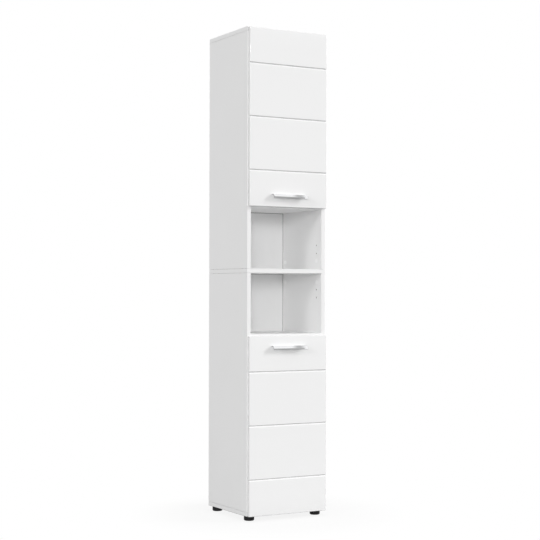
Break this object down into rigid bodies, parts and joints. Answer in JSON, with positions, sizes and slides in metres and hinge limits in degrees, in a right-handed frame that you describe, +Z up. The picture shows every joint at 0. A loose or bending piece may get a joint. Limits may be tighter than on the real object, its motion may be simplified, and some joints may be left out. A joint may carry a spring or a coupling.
{
  "type": "storage cabinet",
  "caption": "Tall narrow bathroom storage tower with an upper and a lower grooved door, open compartments between them, shell handles and round feet.",
  "frame": {"origin": "centre of the cabinet's bounding box on the floor, handles and feet included", "axes": "+Z up, -Y towards the person in front of the doors, +X to that person's right; the doors' hinges are at +X"},
  "size_m": [0.35, 0.358, 1.9],
  "materials": {
    "white_board": "melamine-faced chipboard, satin white, edges banded",
    "white_front": "foil-wrapped fibreboard, glossy white",
    "back_panel": "thin fibreboard, painted white on the inner face",
    "handle_chrome": "bright chrome on cast zinc",
    "nickel_plate": "bright nickel plate on pressed steel",
    "zinc_plate": "zinc-plated steel",
    "cast_zinc": "plain cast zinc",
    "beech": "bare fluted beech",
    "white_plastic": "moulded white plastic",
    "black_plastic": "moulded black plastic, fine grain",
    "clear_rubber": "soft translucent pad"
  },
  "bodies": {
    "carcass": {"bottom_board": "white_board", "middle_board": "white_board", "top_board": "white_board", "lower_left_side": "white_board", "lower_right_side": "white_board", "upper_left_side": "white_board", "upper_right_side": "white_board", "lower_fixed_shelf": "white_board", "upper_fixed_shelf": "white_board", "lower_back_panel": "back_panel", "upper_back_panel": "back_panel", "lower_shelf_1": "white_board", "lower_shelf_2": "white_board", "upper_shelf_1": "white_board", "upper_shelf_2": "white_board", "shelf_pins": "zinc_plate", "hinge_arms": "nickel_plate", "hinge_plates": "nickel_plate", "hinge_plate_screws": "zinc_plate", "hinge_arm_screws": "zinc_plate", "hinge_arm_pins": "zinc_plate", "cam_locks": "cast_zinc", "cam_bolts": "zinc_plate", "through_bolts": "zinc_plate", "dowels": "beech", "cam_caps": "white_plastic", "feet": "black_plastic", "foot_screws": "zinc_plate", "wall_bracket": "zinc_plate", "wall_bracket_screws": "zinc_plate"},
    "lower_door": {"lower_door": "white_front", "lower_handle": "handle_chrome", "lower_handle_screws": "zinc_plate", "lower_door_bumpers": "clear_rubber", "lower_hinge_cups": "nickel_plate", "lower_cup_pins": "zinc_plate", "lower_cup_screws": "zinc_plate"},
    "upper_door": {"upper_door": "white_front", "upper_handle": "handle_chrome", "upper_handle_screws": "zinc_plate", "upper_door_bumpers": "clear_rubber", "upper_hinge_cups": "nickel_plate", "upper_cup_pins": "zinc_plate", "upper_cup_screws": "zinc_plate"},
    "lower_links": {"lower_hinge_links": "nickel_plate"},
    "upper_links": {"upper_hinge_links": "nickel_plate"}
  },
  "joints": [
    {"name": "lower_door_hinge", "type": "hinge", "parent": "carcass", "child": "lower_door", "pos_m": [0.169, -0.1515, 0.366], "axis": [0, 0, 1], "range_deg": [0, 95]},
    {"name": "lower_link_turn", "type": "hinge", "parent": "carcass", "child": "lower_links", "pos_m": [0.1562, -0.1385, 0.366], "axis": [0, 0, 1], "range_deg": [0, 76.5]},
    {"name": "upper_door_hinge", "type": "hinge", "parent": "carcass", "child": "upper_door", "pos_m": [0.169, -0.1515, 1.554], "axis": [0, 0, 1], "range_deg": [0, 95]},
    {"name": "upper_link_turn", "type": "hinge", "parent": "carcass", "child": "upper_links", "pos_m": [0.1562, -0.1385, 1.554], "axis": [0, 0, 1], "range_deg": [0, 76.5]}
  ],
  "couplings": [
    {"joint": "lower_link_turn", "follows": "lower_door_hinge", "ratio": 0.8},
    {"joint": "upper_link_turn", "follows": "upper_door_hinge", "ratio": 0.8}
  ]
}
